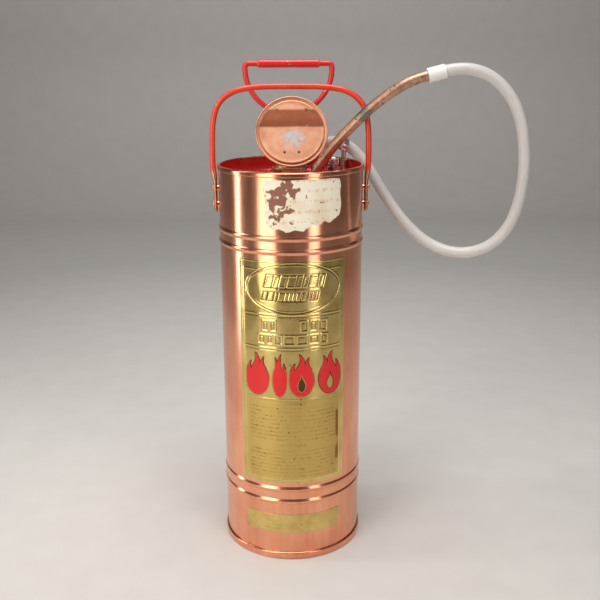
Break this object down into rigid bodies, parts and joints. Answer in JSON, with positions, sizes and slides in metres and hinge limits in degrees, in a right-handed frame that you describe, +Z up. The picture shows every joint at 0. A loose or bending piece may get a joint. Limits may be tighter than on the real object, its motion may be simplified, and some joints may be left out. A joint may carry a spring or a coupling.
{
  "type": "pump tank fire extinguisher",
  "caption": "Copper pump tank water fire extinguisher with a D pull handle, hinged filler lid, fixed red bail, brass labels, clear hose and copper wand.",
  "frame": {"origin": "middle of the foot ring, on the surface that the tank stands on", "axes": "+Z up along the tank, -Y towards the label side, +X towards the hose and wand"},
  "size_m": [0.3903, 0.182, 0.6206],
  "materials": {
    "copper": "polished sheet copper with light tarnish",
    "lid_copper": "tarnished copper with white oxide",
    "tube_copper": "dull oxidised copper tube",
    "dark_copper": "dark oxidised copper",
    "head_red": "gloss red paint",
    "handle_red": "gloss red enamel, worn",
    "label_brass": "embossed brass sheet",
    "pump_brass": "turned brass, dulled",
    "paper": "torn matt paper",
    "nickel": "nickel plate",
    "fibre": "pressed fibre",
    "packing": "greased cord",
    "leather": "oiled",
    "hose_vinyl": "translucent vinyl",
    "cuff_vinyl": "white vinyl"
  },
  "bodies": {
    "root": {"shell": "copper", "rim_band": "copper", "foot_ring": "copper", "top_head": "head_red", "bottom_head": "copper", "brass_label": "label_brass", "base_plate": "label_brass", "paper_label": "paper", "bail_handle": "handle_red", "bail_rivets": "copper", "bail_washers": "copper", "filler_neck": "copper", "hinge_bracket": "lid_copper", "hinge_screws": "dark_copper", "hinge_pin": "pump_brass", "pump_seat": "copper", "head_gasket": "fibre", "pump_head": "pump_brass", "head_screws": "nickel", "gland_packing": "packing", "gland_nut": "pump_brass", "pump_barrel": "pump_brass", "foot_valve": "pump_brass", "foot_valve_stop": "pump_brass", "foot_strainer": "pump_brass", "discharge_tube": "copper", "outlet_spud": "nickel", "outlet_nut": "nickel", "outlet_elbow": "nickel", "outlet_clamp": "nickel", "hose": "hose_vinyl", "hose_cuff": "cuff_vinyl", "wand": "tube_copper", "wand_nozzle": "pump_brass", "wand_holder": "tube_copper", "vent_body": "nickel", "vent_cap": "nickel", "hose_rest": "nickel"},
    "plunger": {"pump_rod": "pump_brass", "handle_boss": "handle_red", "boss_pin": "pump_brass", "handle_frame": "handle_red", "grip_sleeve": "handle_red", "plunger_stem": "pump_brass", "plunger_body": "pump_brass", "cup_leathers": "leather", "plunger_nut": "pump_brass"},
    "plunger_valve": {"plunger_ball": "nickel"},
    "lid": {"lid": "lid_copper", "lid_liner": "lid_copper", "lid_hinge_leaf": "lid_copper", "lid_pull": "lid_copper", "lid_rivets": "dark_copper"},
    "foot_valve_lift": {"foot_valve_ball": "nickel"}
  },
  "joints": [
    {"name": "pump_slide", "type": "slide", "parent": "root", "child": "plunger", "axis": [0, 0, 1], "range_m": [0, 0.25]},
    {"name": "lid_hinge", "type": "hinge", "parent": "root", "child": "lid", "pos_m": [0.0015, 0.0065, 0.49], "axis": [1, 0, 0], "range_deg": [0, 113]},
    {"name": "plunger_ball_lift", "type": "slide", "parent": "plunger", "child": "plunger_valve", "axis": [0, 0, 1], "range_m": [0, 0.004]},
    {"name": "foot_ball_lift", "type": "slide", "parent": "root", "child": "foot_valve_lift", "axis": [0, 0, 1], "range_m": [0, 0.0021]}
  ]
}
